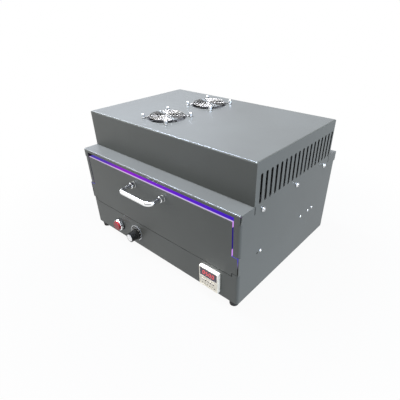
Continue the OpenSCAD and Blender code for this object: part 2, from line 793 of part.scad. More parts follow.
module timer_case() color(cream) in_case() difference() {
    union() {
        translate([timer_x, 0, timer_z]) {
            run_back(-timer_out + 1.5, 0) rounded_square(timer_w, timer_w, 1.5);
            run_back(-timer_out, -timer_out + 1.5) rounded_square(timer_w - 1.4, timer_w - 1.4, 1.2);
            run_back(-1, timer_back) rounded_square(timer_w - 3.4, timer_w - 3.4, 1);
        }
    }
    // window recess, key field and key pockets
    translate([timer_x, -timer_out - over, window_mid]) run_back(0, over + 1.2)
        rounded_square(window_w + 0.2, window_t + 0.2, 0.8);
    translate([timer_x, -timer_out - over, timer_z - 10.5]) run_back(0, over + 0.5)
        rounded_square(window_w, 20, 0.8);
    key_places() translate([-key_w / 2 - key_gap, -timer_out - over, -key_h / 2 - key_gap])
        cube([key_w + 2 * key_gap, over + 4.6, key_h + 2 * key_gap]);
}

module timer_window() color([0.12, 0.05, 0.12]) in_case()
    translate([timer_x, -timer_out + 0.3, window_mid])
        run_back(0, 0.9) rounded_square(window_w, window_t, 0.7);

module timer_key(i) color(cream) in_case()
    if (i < key_n) translate([timer_x + (i - (key_n - 1) / 2) * key_pitch, -timer_out - 0.4, key_z])
        translate([-key_w / 2, 0, -key_h / 2]) cube([key_w, 4.9 - key_travel, key_h]);

module timer_key_1() timer_key(0);
module timer_key_2() timer_key(1);
module timer_key_3() timer_key(2);
module timer_key_4() timer_key(3);
module timer_key_5() timer_key(4);

// clamp frame that holds the timer from behind the panel
module timer_clamp() color(black) in_case() translate([timer_x, 0, timer_z]) difference() {
    union() {
        run_back(sheet, sheet + 3) rounded_square(timer_w + 2, timer_w + 2, 2);
        run_back(sheet, sheet + 16) rounded_square(timer_w - 0.6, 20, 1);
    }
    run_back(0, 40) square(timer_w - 3.2, center = true);
}

// ---------- dial ----------

bush_r = 4.65;
pot_r = 12;
nut_t = 2.4;
plate_t = 1;
knob_back = -plate_t - 0.8;
knob_front = knob_back - knob_l;
grip_r = knob_d / 2 - 2.5;
grip_n = 20;
cap_seat_r = grip_r - 2.2;

module dial_plate() color([0.16, 0.16, 0.17]) in_case() difference() {
    union() {
        rod_y(dial_x, control_z + plate_rise, -plate_t, 0, dial_d / 2);
        difference() {
            rod_y(dial_x, control_z + plate_rise, -plate_t - 0.4, -plate_t / 2, dial_d / 2);
            rod_y(dial_x, control_z + plate_rise, -plate_t - over, 0, dial_d / 2 - 1.4);
        }
    }
    rod_y(dial_x, control_z, -plate_t - over, over, bush_r + 0.2);
}

module potentiometer() color(steel) in_case() difference() {
    union() {
        rod_y(dial_x, control_z, -plate_t - nut_t - 1.4, sheet + 0.5, bush_r);
        hex_y(dial_x, control_z, -plate_t - nut_t, -plate_t, 7);
        rod_y(dial_x, control_z, sheet, sheet + 10.5, pot_r);
        for (i = [-1, 0, 1]) block(dial_x + 5 * i - 1.2, dial_x + 5 * i + 1.2,
            sheet + 8, sheet + 9, control_z - pot_r - 5, control_z - pot_r + 1);
    }
    rod_y(dial_x, control_z, -10, sheet + 7, shaft_d / 2 + 0.05);
}

shaft_end = knob_front + 5;

module dial_shaft() color(steel) in_case()
    rod_y(dial_x, control_z, shaft_end, sheet + 6, shaft_d / 2);

module control_knob() color(black) in_case() difference() {
    union() {
        rod_y(dial_x, control_z, knob_back - 3, knob_back, knob_d / 2);
        translate([dial_x, knob_back - 3, control_z]) rotate([90, 0, 0])
            cylinder(h = 2, r1 = knob_d / 2 - 0.6, r2 = grip_r);
        translate([dial_x, 0, control_z]) run_back(knob_front, knob_back - 3) difference() {
            circle(grip_r);
            for (i = [0 : grip_n - 1]) rotate(i * 360 / grip_n) translate([grip_r + 0.4, 0]) circle(1);
        }
    }
    // hollow round the nut, bore of the shaft and seat of the cap
    rod_y(dial_x, control_z, knob_back - nut_t - 1.6, knob_back + over, 8.4);
    rod_y(dial_x, control_z, shaft_end - 0.2, knob_back, shaft_d / 2 + 0.03);
    rod_y(dial_x, control_z, knob_front - over, knob_front + 1, cap_seat_r);
}

module knob_cap() color(bright) in_case()
    rod_y(dial_x, control_z, knob_front - 0.4, knob_front + 1, cap_seat_r - 0.1);

// ---------- push button ----------

barrel_r = 10.9;
plunger_r = 4.9;
bezel_out = cap_out - 3.5;
bezel_r = cap_d / 2 + 3;
cap_t = 6.4;

module button_bezel() color(bright) in_case() difference() {
    union() {
        rod_y(button_x, control_z, -2, 0, bezel_r);
        rod_y(button_x, control_z, -bezel_out + 3, -1, bezel_r - 0.6);
        translate([button_x, -bezel_out + 3, control_z]) rotate([90, 0, 0])
            cylinder(h = 3, r1 = bezel_r - 0.6, r2 = bezel_r - 1.6);
    }
    rod_y(button_x, control_z, -bezel_out - over, -2.5, cap_d / 2 + 0.35);
    rod_y(button_x, control_z, -4, over, plunger_r + 0.4);
    // finger grips round the ring
    for (a = [0 : 60 : 300]) translate([button_x, 0, control_z]) rotate([0, a + 15, 0])
        rod_y(bezel_r + 1.2, 0, -bezel_out + 2.5, -2.6, 2.6);
}

module button_cap() color([0.72, 0.10, 0.13]) in_case() {
    rod_y(button_x, control_z, -cap_out + 0.8, -cap_out + cap_t, cap_d / 2);
    rod_y(button_x, control_z, -cap_out, -cap_out + 2, cap_d / 2 - 0.8);
    rod_y(button_x, control_z, -cap_out + cap_t - 1, 12, plunger_r);
}

module button_body() color([0.20, 0.22, 0.25]) in_case() difference() {
    union() {
        rod_y(button_x, control_z, 0, 22, barrel_r);
        rod_y(button_x, control_z, sheet, sheet + 4, barrel_r + 4);
        block(button_x - 15, button_x + 15, 21, 46, control_z - 14, control_z + 14);
    }
    rod_y(button_x, control_z, -over, 12.5 + button_travel, plunger_r + 0.4);
}

// ---------- drawer ----------

// outline of the drawer front: narrow between the flanges, wide over the slides
module front_outline(inset) {
    half = [
        [lower_x - inset, front_z0 + inset],
        [lower_x - inset, window_z0 + wide_gap + inset],
        [wide_x - inset, window_z0 + wide_gap + inset],
        [wide_x - inset, window_z1 - wide_gap - inset],
        [upper_x - inset, window_z1 - wide_gap - inset],
        [upper_x - inset, front_z1 - inset]];
    polygon(concat(half, [for (i = [len(half) - 1 : -1 : 0]) [-half[i][0], half[i][1]]]));
}

module handle_holes(r) {
    for (x = [-1, 1]) rod_y(x * handle_pitch / 2, handle_z, -over, sheet + over, r);
}

module drawer_screw_places() {
    for (x = [-1, 0, 1], z = [front_z0 + 9, front_z1 - 14])
        translate([x * (upper_x - 30), 0, z]) children();
}

module drawer_front() color(paint) in_case() difference() {
    run_back(0, front_depth) front_outline(0);
    run_back(thin, front_depth - thin) front_outline(thin);
    run_back(front_depth - thin - over, front_depth + over) front_outline(16);
    handle_holes(2.7);
    drawer_screw_places() rod_y(0, 0, front_depth - 2 * thin, front_depth + over, 1.9);
    across(2 * upper_x + 2 * over) translate([0, front_z1]) mirror([0, 1]) corner_off(min(bend_r, 2));
}

module drawer_tray() color(bright) in_case() {
    z1 = tray_z + tray_h;
    y1 = tray_y + tray_d;
    hem = 2 * thin;
    hem_z = z1 - 4;
    difference() {
        block(-tray_x, tray_x, tray_y, y1, tray_z, z1);
        block(-tray_x + thin, tray_x - thin, tray_y + thin, y1 - thin, tray_z + thin, hem_z);
        block(-tray_x + hem, tray_x - hem, tray_y + hem, y1 - hem, hem_z - over, z1 + over);
        drawer_screw_places() rod_y(0, 0, tray_y - over, tray_y + thin + over, 1.9);
        for (y = tray_screw_y) rod_x(-tray_x - over, tray_x + over, y, slide_z, 1.9);
    }
}

tray_screw_y = [40, 170, 300];

module tray_screws() color(bright) in_case() both_sides() for (y = tray_screw_y) {
    rod_x(tray_x - thin - 1.5, tray_x - thin, y, slide_z, 3.4);
    rod_x(tray_x - thin - 0.5, tray_x + thin + 0.4, y, slide_z, 1.75);
}

module drawer_screws() color(bright) in_case() drawer_screw_places() {
    rod_y(0, 0, tray_y + thin, tray_y + thin + 1.6, 3.4);
    rod_y(0, 0, tray_y - thin - 3, tray_y + thin + 0.5, 1.75);
}

// ---------- handle ----------

collar_l = 11;

module handle_bar() color(bright) in_case() translate([0, 0, handle_z]) {
    r = handle_d / 2;
    elbow = 12;
    x = handle_pitch / 2;
    difference() {
        for (s = [-1, 1]) rod_y(s * x, 0, -handle_out + elbow, 0, r);
        for (s = [-1, 1]) rod_y(s * x, 0, -12, over, 2.1);
    }
    for (s = [[x - elbow, -90], [-x + elbow, 180]]) translate([s[0], -handle_out + elbow, 0])
        rotate([0, 0, s[1]]) rotate_extrude(angle = 90) translate([elbow, 0]) circle(r);
    rod_x(-x + elbow, x - elbow, -handle_out, 0, r);
}

module handle_collars() color(bright) in_case() for (s = [-1, 1]) difference() {
    union() {
        rod_y(s * handle_pitch / 2, handle_z, -3, 0, handle_d / 2 + 1.8);
        rod_y(s * handle_pitch / 2, handle_z, -collar_l + 1, -1, handle_d / 2 + 1.4);
        translate([s * handle_pitch / 2, -collar_l + 1, handle_z]) rotate([90, 0, 0])
            cylinder(h = 1, r1 = handle_d / 2 + 1.4, r2 = handle_d / 2 + 0.8);
    }
    rod_y(s * handle_pitch / 2, handle_z, -collar_l - over, over, handle_d / 2 + 0.03);
    // hole of the pinch screw
    translate([s * handle_pitch / 2, -7, handle_z - handle_d]) cylinder(h = handle_d - 2, r = 1.5);
}

module handle_screws() color(bright) in_case() for (s = [-1, 1]) {
    rod_y(s * handle_pitch / 2, handle_z, thin, thin + 3, 4.2);
    rod_y(s * handle_pitch / 2, handle_z, -10, thin + 1, 2);
}

// ---------- slides ----------

// half of a ball race; side 1 lies outside the balls, side -1 inside
module race(u, v, side) {
    translate([u, v]) intersection() {
        difference() {
            circle(race_out);
            circle(race_in);
        }
        translate([-race_out - over, side > 0 ? race_cut : -race_out - over])
            square([2 * (race_out + over), race_out + over - race_cut]);
    }
}

module fixed_profile() {
    translate([0, -slide_h / 2]) square([thin, slide_h]);
    for (m = [0, 1]) mirror([0, m]) {
        translate([0, slide_h / 2 - thin]) square([row_u, thin]);
        race(row_u, row_v, 1);
    }
}

module middle_profile() {
    translate([mid_web_u, -row_v + race_cut]) square([thin, 2 * (row_v - race_cut)]);
    for (m = [0, 1]) mirror([0, m]) {
        race(row_u, row_v, -1);
        race(inner_u, inner_v, 1);
    }
}

module inner_profile() {
    translate([slide_t - thin, -inner_v + race_in]) square([thin, 2 * (inner_v - race_in)]);
    for (m = [0, 1]) mirror([0, m]) {
        translate([inner_u, inner_v - race_out]) square([slide_t - inner_u, thin]);
        race(inner_u, inner_v, -1);
    }
}

// rows of balls in their cage strips, above and below the slide axis
module ball_rows(u, v, y0, y1) {
    n = ball_n;
    step = (y1 - y0) / n;
    for (m = [-1, 1]) translate([u, 0, m * v]) {
        block(-race_out + 0.5, race_out - 0.5, y0, y1, -race_cut + 0.4, race_cut - 0.4);
        for (i = [0 : n - 1]) translate([0, y0 + (i + 0.5) * step, 0]) sphere(ball_r, $fn = 24);
    }
}

// puts a right-hand slide piece in place
module right_slide() { translate([inner_w - thin, 0, slide_z]) mirror([1, 0, 0]) children(); }

module left_slide() { mirror([1, 0, 0]) right_slide() children(); }

slide_y = 14;
slide_screw_y = [for (d = [53, 207, 240, 258]) slide_y + d];
slide_hole_y = concat([slide_screw_y[0] - 10.5], slide_screw_y);   // the first hole stays empty
middle_l = slide_l - 20;
row_l = 120;
row_y = slide_y + drawer_travel / 4 + 14;   // the rows roll forward by a quarter of the travel

module slide_fixed() difference() {
    run_back(slide_y, slide_y + slide_l) fixed_profile();
    for (y = slide_hole_y) rod_x(-over, thin + over / 2, y, 0, 2.1);
}

module slide_middle() run_back(slide_y, slide_y + middle_l) middle_profile();

module slide_inner() difference() {
    run_back(slide_y, slide_y + slide_l) inner_profile();
    for (y = tray_screw_y) rod_x(slide_t - thin - over / 2, slide_t + over, y, 0, 1.9);
}

module slide_fixed_left() color(steel) in_case() left_slide() slide_fixed();
module slide_fixed_right() color(steel) in_case() right_slide() slide_fixed();
module slide_middle_left() color(steel) in_case() left_slide() slide_middle();
module slide_middle_right() color(steel) in_case() right_slide() slide_middle();
module slide_inner_left() color(steel) in_case() left_slide() slide_inner();
module slide_inner_right() color(steel) in_case() right_slide() slide_inner();

module outer_rows() ball_rows(row_u, row_v, row_y, row_y + row_l);
module inner_rows() ball_rows(inner_u, inner_v, row_y + 12, row_y + 12 + row_l);

module ball_rows_left() color(steel) in_case() left_slide() outer_rows();
module ball_rows_right() color(steel) in_case() right_slide() outer_rows();
module inner_balls_left() color(steel) in_case() left_slide() inner_rows();
module inner_balls_right() color(steel) in_case() right_slide() inner_rows();

// ---------- pieces ----------

outer_cover();
front_ledge();
rear_ledge();
control_panel();
rear_panel();
base_tray();
feet();
foot_screws();
lamp_screws();
slide_screws();
rear_screws();
chamber_liner();
lamp_plate();
heat_sink();
lamp_board();
lamp_chips();
fan_guard_front();
fan_guard_rear();
fan_frame_front();
fan_frame_rear();
fan_rotor_front();
fan_rotor_rear();
fan_screws();
power_inlet();
lamp_driver();
terminal_block();
wiring();
timer_case();
timer_window();
timer_clamp();
timer_key_1();
timer_key_2();
timer_key_3();
timer_key_4();
timer_key_5();
dial_plate();
control_knob();
knob_cap();
dial_shaft();
potentiometer();
button_bezel();
button_cap();
button_body();
drawer_front();
drawer_tray();
drawer_screws();
tray_screws();
handle_bar();
handle_collars();
handle_screws();
slide_fixed_left();
slide_fixed_right();
slide_middle_left();
slide_middle_right();
slide_inner_left();
slide_inner_right();
ball_rows_left();
ball_rows_right();
inner_balls_left();
inner_balls_right();
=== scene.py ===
"""Looks of the drawer curing oven: finishes, marks, lit display, lamp glow, studio and camera."""
import math
import bmesh
import bpy
from mathutils import Matrix, Vector

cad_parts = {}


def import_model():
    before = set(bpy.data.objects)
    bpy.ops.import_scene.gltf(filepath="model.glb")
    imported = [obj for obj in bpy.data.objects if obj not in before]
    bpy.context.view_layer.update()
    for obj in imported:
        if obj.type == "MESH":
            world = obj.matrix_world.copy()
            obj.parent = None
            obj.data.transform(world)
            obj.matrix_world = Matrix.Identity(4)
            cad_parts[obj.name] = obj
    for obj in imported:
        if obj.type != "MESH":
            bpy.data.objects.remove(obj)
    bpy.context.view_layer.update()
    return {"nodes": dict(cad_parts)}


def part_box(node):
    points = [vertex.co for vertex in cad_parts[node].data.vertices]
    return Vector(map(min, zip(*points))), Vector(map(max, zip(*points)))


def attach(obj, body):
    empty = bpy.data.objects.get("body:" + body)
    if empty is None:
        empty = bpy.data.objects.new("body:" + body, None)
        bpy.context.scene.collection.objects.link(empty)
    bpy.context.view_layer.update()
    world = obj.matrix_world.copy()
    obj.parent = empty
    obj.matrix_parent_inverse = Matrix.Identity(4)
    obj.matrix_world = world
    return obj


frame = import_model()
nodes = frame["nodes"]
MM = 0.001


# ---------- shader maths ----------

class Value:
    """A socket of a shader tree. An expression on it adds Math nodes."""

    def __init__(self, maker, socket):
        self.maker = maker
        self.socket = socket

    def maths(self, operation, *inputs):
        return self.maker.node("ShaderNodeMath", {"operation": operation}, inputs)

    def __add__(self, other):
        return self.maths("ADD", self, other)

    def __radd__(self, other):
        return self.maths("ADD", other, self)

    def __sub__(self, other):
        return self.maths("SUBTRACT", self, other)

    def __rsub__(self, other):
        return self.maths("SUBTRACT", other, self)

    def __mul__(self, other):
        return self.maths("MULTIPLY", self, other)

    def __rmul__(self, other):
        return self.maths("MULTIPLY", other, self)

    def __truediv__(self, other):
        return self.maths("DIVIDE", self, other)

    def __pow__(self, other):
        return self.maths("POWER", self, other)

    def __gt__(self, other):
        return self.maths("GREATER_THAN", self, other)

    def __lt__(self, other):
        return self.maths("LESS_THAN", self, other)

    def abs(self):
        return self.maths("ABSOLUTE", self)

    def rise(self, start, end):
        """0 before start, 1 after end and smooth between them; start may lie after end."""
        if start > end:
            return 1 - self.rise(end, start)
        return self.maker.node(
            "ShaderNodeMapRange", {"interpolation_type": "SMOOTHSTEP"},
            {"Value": self, "From Min": start, "From Max": end})

    def band(self, low, high, soft):
        """1 between low and high, with soft edges."""
        return self.rise(low - soft, low + soft) * self.rise(high + soft, high - soft)


class Maker:
    """Builds the node tree of one material."""

    def __init__(self, name):
        self.material = bpy.data.materials.new(name)
        self.material.use_nodes = True
        self.tree = self.material.node_tree
        self.tree.nodes.clear()
        self.coordinates = self.node("ShaderNodeTexCoord", output="Object")
        self.x, self.y, self.z = self.axes(self.coordinates)

    def raw(self, kind, settings, values):
        made = self.tree.nodes.new(kind)
        for name, setting in settings.items():
            setattr(made, name, setting)
        pairs = values.items() if isinstance(values, dict) else enumerate(values)
        for key, value in pairs:
            if isinstance(value, Value):
                self.tree.links.new(value.socket, made.inputs[key])
            else:
                made.inputs[key].default_value = value
        return made

    def node(self, kind, settings=None, values=(), output=0):
        return Value(self, self.raw(kind, settings or {}, values).outputs[output])

    def axes(self, vector):
        parts = self.raw("ShaderNodeSeparateXYZ", {}, [vector])
        return [Value(self, output) for output in parts.outputs]

    def noise(self, scale, detail, stretch=(1, 1, 1)):
        place = self.node("ShaderNodeMapping", {}, {"Vector": self.coordinates, "Scale": stretch})
        return self.node("ShaderNodeTexNoise", {}, {"Vector": place, "Scale": scale, "Detail": detail})

    def cells(self, scale):
        return self.node("ShaderNodeTexVoronoi", {}, {"Vector": self.coordinates, "Scale": scale})

    def mix(self, factor, low, high):
        """A colour between low and high."""
        return self.node(
            "ShaderNodeMix", {"data_type": "RGBA"}, {0: factor, 6: low, 7: high}, output=2)

    def bump(self, height, strength, distance):
        return self.node(
            "ShaderNodeBump", {}, {"Strength": strength, "Distance": distance, "Height": height})

    def finish(self, values):
        shader = self.raw("ShaderNodeBsdfPrincipled", {}, values)
        self.close(Value(self, shader.outputs[0]))
        return self.material

    def close(self, shader):
        self.raw("ShaderNodeOutputMaterial", {}, {"Surface": shader})


def grey(value):
    return (value, value, value, 1)


def rgb(red, green, blue):
    """A display colour, 0 to 255, as the linear colour that a socket takes."""
    def linear(channel):
        part = channel / 255
        return part / 12.92 if part <= 0.04045 else ((part + 0.055) / 1.055) ** 2.4
    return (linear(red), linear(green), linear(blue), 1)


# ---------- finishes ----------

PAINT_DARK = rgb(70, 70, 65)
PAINT_LIGHT = rgb(76, 77, 72)
PAINT_GLOSS = 0.65
PAINT_SHEEN = (0.80, 0.91, 1.0, 1)
# near-black colour painted as shade on the inner walls of the vent slots
SLOT_PAINTED_SHADE = rgb(34, 32, 28)
SLOT_DEPTH = 1.4 * MM
SHADE_FROM = -100 * MM      # slot walls behind this Y get painted shade: all but those of the first slot
SHADE_ABOVE = 226 * MM      # and above this Z, which leaves out the lowest 11 mm of each slot
CASE_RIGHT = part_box("outer_cover")[1].x


def paint_values(made):
    """Satin powder coat: a fine orange peel, a faint fleck, slow changes of tone, smoother bends and
    painted shade on the walls of the vent slots.
    """
    slow = made.noise(6, 3)
    fleck = made.noise(2600, 1)
    tone = slow * 0.7 + fleck * 0.3
    peel = made.noise(900, 2)
    facing = made.node("ShaderNodeTexCoord", output="Normal")
    across, up = made.axes(facing)[1:]
    bend = (4 * up * up * (1 - up * up)).rise(0.1, 0.7) * (up > 0)
    # painted shade: the inner walls of the vent slots take a near-black colour that stands for the shade
    # inside the slots
    painted_slot_shade = (made.x.abs() > CASE_RIGHT - SLOT_DEPTH) * (across.abs() > 0.7) * (
        made.y > SHADE_FROM) * (made.z > SHADE_ABOVE)
    paint = made.mix(tone.rise(0.3, 0.7), PAINT_DARK, PAINT_LIGHT)
    return {
        "Base Color": made.mix(painted_slot_shade, paint, SLOT_PAINTED_SHADE),
        "Roughness": 0.40 + peel * 0.10 - bend * 0.30,
        "Specular IOR Level": PAINT_GLOSS,
        "Specular Tint": PAINT_SHEEN,
        "Normal": made.bump(peel, 0.12, 0.0002),
    }


def powder_coat():
    made = Maker("powder_coat")
    return made.finish(paint_values(made))


def zinc_sheet():
    made = Maker("zinc_sheet")
    spangle = made.cells(160)
    grain = made.noise(700, 2, (1, 6, 1))
    return made.finish({
        "Base Color": made.mix(spangle.rise(0.2, 0.8), rgb(160, 163, 165), rgb(182, 185, 187)),
        "Metallic": 0.85,
        "Roughness": 0.34 + grain * 0.16,
        "Normal": made.bump(grain, 0.08, 0.0002),
    })


def guard_wire():
    """Plated wire of the fan guards, duller than the chrome of the handle."""
    made = Maker("guard_wire")
    drawn = made.noise(220, 3)
    return made.finish({
        "Base Color": made.mix(drawn, rgb(134, 132, 127), rgb(166, 163, 157)),
        "Metallic": 1.0,
        "Roughness": 0.24 + drawn * 0.10,
    })


def turned_cap():
    """Turned aluminium disc on the knob."""
    made = Maker("turned_cap")
    turned = made.noise(1400, 2)
    return made.finish({
        "Base Color": made.mix(turned, rgb(236, 237, 238), rgb(250, 250, 250)),
        "Metallic": 0.7,
        "Roughness": 0.22 + turned * 0.10,
    })


def bright_screw():
    made = Maker("bright_screw")
    turned = made.noise(900, 2)
    return made.finish({
        "Base Color": made.mix(turned, rgb(200, 203, 206), rgb(236, 237, 238)),
        "Metallic": 1.0,
        "Roughness": 0.18 + turned * 0.14,
        "Normal": made.bump(turned, 0.06, 0.0001),
    })


def black_anodised():
    made = Maker("black_anodised")
    drawn = made.noise(600, 2, (1, 0.05, 1))
    return made.finish({
        "Base Color": made.mix(drawn, rgb(34, 31, 28), rgb(48, 44, 40)),
        "Metallic": 0.3,
        "Roughness": 0.44 + drawn * 0.14,
    })


def extruded_aluminium():
    made = Maker("extruded_aluminium")
    drawn = made.noise(600, 2, (1, 0.05, 1))
    return made.finish({
        "Base Color": made.mix(drawn, rgb(188, 192, 196), rgb(214, 216, 218)),
        "Metallic": 1.0,
        "Roughness": 0.30 + drawn * 0.16,
        "Normal": made.bump(drawn, 0.08, 0.0002),
    })


def moulded_plastic(name, dark, light, roughness, shine):
    made = Maker(name)
    grain = made.noise(1800, 2)
    slow = made.noise(40, 2)
    return made.finish({
        "Base Color": made.mix(slow, dark, light),
        "Roughness": roughness + grain * 0.10,
        "Specular IOR Level": shine,
        "Normal": made.bump(grain, 0.15, 0.0001),
    })


def foot_rubber():
    made = Maker("foot_rubber")
    dust = made.noise(300, 3)
    return made.finish({
        "Base Color": made.mix(dust.rise(0.4, 0.8), rgb(26, 26, 27), rgb(52, 52, 52)),
        "Roughness": 0.68 + dust * 0.15,
        "Normal": made.bump(dust, 0.2, 0.0002),
    })


def smoked_window():
    made = Maker("smoked_window")
    film = made.noise(30, 2)
    return made.finish({
        "Base Color": made.mix(film, rgb(44, 28, 52), rgb(62, 44, 74)),
        "Roughness": 0.10 + film * 0.05,
        "Coat Weight": 0.4,
    })


def red_button():
    made = Maker("red_button")
    flow = made.noise(90, 2)
    return made.finish({
        "Base Color": made.mix(flow, rgb(134, 18, 28), rgb(154, 28, 38)),
        "Roughness": 0.26 + flow * 0.1,
        "Normal": made.bump(made.noise(1500, 1), 0.08, 0.0001),
    })


def lit_material(name, colour, strength, flicker):
    """A glowing surface with a slightly uneven brightness."""
    made = Maker(name)
    uneven = made.noise(flicker, 1)
    return made.finish({
        "Base Color": made.mix(uneven, tuple(c * 0.5 for c in colour[:3]) + (1,), colour),
        "Roughness": 0.4,
        "Emission Color": made.mix(uneven, tuple(c * 0.85 for c in colour[:3]) + (1,), colour),
        "Emission Strength": strength,
    })


def printed_ink(name, dark, light):
    made = Maker(name)
    speck = made.noise(2500, 1)
    return made.finish({
        "Base Color": made.mix(speck, dark, light),
        "Roughness": 0.5 + speck * 0.1,
    })


def lamp_board_white():
    made = Maker("lamp_board_white")
    print_grain = made.noise(400, 2)
    return made.finish({
        "Base Color": made.mix(print_grain, rgb(214, 214, 208), rgb(232, 232, 228)),
        "Roughness": 0.45 + print_grain * 0.1,
    })


FRONT_LOW, FRONT_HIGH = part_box("drawer_front")
UPPER_X = FRONT_HIGH.x - 13.4 * MM     # side edge of the narrow upper part
STEP_Z = FRONT_LOW.z + 46 * MM         # where the wide lower part ends
PALE_ENDS = (13 * MM, 11 * MM)         # painted pale light at the upper end of a side edge
PALE_STEP = (16 * MM, 13 * MM)         # and painted pale light above the step
STEP_GLOW = (26 * MM, 4 * MM)          # painted glow on the wide part's edge, below the step
# colours of the painted violet light along the drawer front's top return, from left to right
GLOW_STOPS = [
    (0.03, rgb(74, 58, 170)), (0.16, rgb(86, 44, 176)), (0.30, rgb(142, 22, 196)),
    (0.50, rgb(116, 20, 200)), (0.72, rgb(88, 22, 198)), (0.97, rgb(66, 26, 186))]


def glowing_front():
    """Powder coat of the drawer front, with painted violet light as an emission where the lamps would
    shine round its edges.
    """
    made = Maker("glowing_front")
    paint = paint_values(made)
    across = (made.x - FRONT_LOW.x) / (FRONT_HIGH.x - FRONT_LOW.x)
    on_top = made.z.rise(FRONT_HIGH.z - 1.0 * MM, FRONT_HIGH.z - 0.3 * MM)
    on_side = made.x.abs().rise(UPPER_X - 0.7 * MM, UPPER_X - 0.1 * MM) * made.z.rise(
        STEP_Z - 0.5 * MM, STEP_Z + 0.2 * MM)
    behind = made.y.rise(FRONT_LOW.y + 0.2 * MM, FRONT_LOW.y + 0.6 * MM)
    hue = made.node("ShaderNodeValToRGB", {}, [across])
    ramp = hue.socket.node.color_ramp
    ramp.elements[0].position, ramp.elements[0].color = GLOW_STOPS[0]
    ramp.elements[1].position, ramp.elements[1].color = GLOW_STOPS[-1]
    for position, colour in GLOW_STOPS[1:-1]:
        ramp.elements.new(position).color = colour
    # painted highlight: a pale pink line along the front of the top return stands for studio light on its
    # rounded edge
    painted_edge_highlight = made.mix(0.62, hue, rgb(255, 232, 255))
    edge = made.y.rise(FRONT_LOW.y + 3.2 * MM, FRONT_LOW.y + 1.6 * MM)
    top_light = made.mix(edge, hue, painted_edge_highlight)
    # painted highlights: brighter lilac light at the upper end of each side edge and just above the step
    high = made.z.rise(FRONT_HIGH.z - PALE_ENDS[0], FRONT_HIGH.z - PALE_ENDS[1])
    low = made.z.rise(STEP_Z + PALE_STEP[0], STEP_Z + PALE_STEP[1])
    side_light = made.mix(
        1 - (1 - high) * (1 - low), rgb(36, 10, 128), rgb(214, 150, 248))
    light = made.mix(on_side * (1 - on_top), top_light, side_light)
    lit = (1 - (1 - on_top) * (1 - on_side)) * behind
    on_step = made.z.band(STEP_Z - 0.3 * MM, STEP_Z + 0.3 * MM, 0.2 * MM) * made.x.abs().rise(
        UPPER_X + 0.1 * MM, UPPER_X + 0.5 * MM)
    on_edge = made.x.abs().rise(FRONT_HIGH.x - 0.5 * MM, FRONT_HIGH.x - 0.2 * MM) * made.z.rise(
        STEP_Z - STEP_GLOW[0], STEP_Z - STEP_GLOW[1]) * (made.z < STEP_Z)
    light = made.mix(1 - (1 - on_step) * (1 - on_edge), light, rgb(62, 54, 196))
    lit = 1 - (1 - lit) * (1 - on_step) * (1 - on_edge * 0.7)
    # painted light: where the lamps' light would fall, the paint is darkened and an emission carries the
    # violet colour
    paint["Base Color"] = made.mix(lit, paint["Base Color"], rgb(20, 18, 30))
    paint["Emission Color"] = made.mix(lit, (0, 0, 0, 1), light)
    paint["Emission Strength"] = 1.0
    return made.finish(paint)


def dial_black():
    """Black anodised dial plate with a bare bright rim."""
    made = Maker("dial_black")
    low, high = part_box("dial_plate")
    centre = (low + high) / 2
    radius = ((made.x - centre.x) ** 2 + (made.z - centre.z) ** 2) ** 0.5
    rim = radius.rise((high.x - low.x) / 2 - 1.6 * MM, (high.x - low.x) / 2 - 1.2 * MM)
    grain = made.noise(1600, 2)
    return made.finish({
        "Base Color": made.mix(rim, rgb(12, 12, 11), rgb(206, 208, 210)),
        "Metallic": 0.1 + rim * 0.85,
        "Roughness": 0.34 + grain * 0.12 - rim * 0.12,
        "Normal": made.bump(grain, 0.08, 0.0001),
    })


def ring_chrome():
    """Chrome of the push button's ring; its last 2 mm next to the panel are near black, rough and not
    metallic.
    """
    made = Maker("ring_chrome")
    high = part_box("button_bezel")[1]
    dark_base_band = made.y.rise(high.y - 2.4 * MM, high.y - 2.0 * MM)
    haze = made.noise(160, 2)
    return made.finish({
        "Base Color": made.mix(dark_base_band, rgb(232, 234, 236), rgb(24, 24, 25)),
        "Metallic": 1 - dark_base_band,
        "Roughness": 0.08 + haze * 0.08 + dark_base_band * 0.5,
    })


def glowing_lamp():
    return lit_material("glowing_lamp", rgb(120, 60, 235), 2.5, 500)


FINISHES = {
    powder_coat: ["outer_cover", "front_ledge", "rear_ledge", "control_panel", "rear_panel"],
    glowing_front: ["drawer_front"],
    zinc_sheet: ["base_tray", "chamber_liner", "lamp_plate", "drawer_tray"],
    guard_wire: ["fan_guard_front", "fan_guard_rear"],
    turned_cap: ["knob_cap"],
    ring_chrome: ["button_bezel"],
    bright_screw: [n for n in nodes if n.endswith("_screws")] + ["potentiometer", "dial_shaft"],
    foot_rubber: ["feet"],
    extruded_aluminium: ["lamp_driver"],
    black_anodised: ["heat_sink"],
    smoked_window: ["timer_window"],
    red_button: ["button_cap"],
    dial_black: ["dial_plate"],
    lamp_board_white: ["lamp_board"],
    glowing_lamp: ["lamp_chips"],
}

# nodes that still carry the frame's own plain material of this name: no procedural finish is made for them
FRAME_MATERIALS = {
    "slide_steel": [n for n in nodes if n.startswith(("slide_fixed", "slide_middle", "slide_inner"))],
    "chrome": ["handle_bar", "handle_collars"] + [n for n in nodes if "ball" in n],
}

SHINE = 0.5                # specular level of most plastics
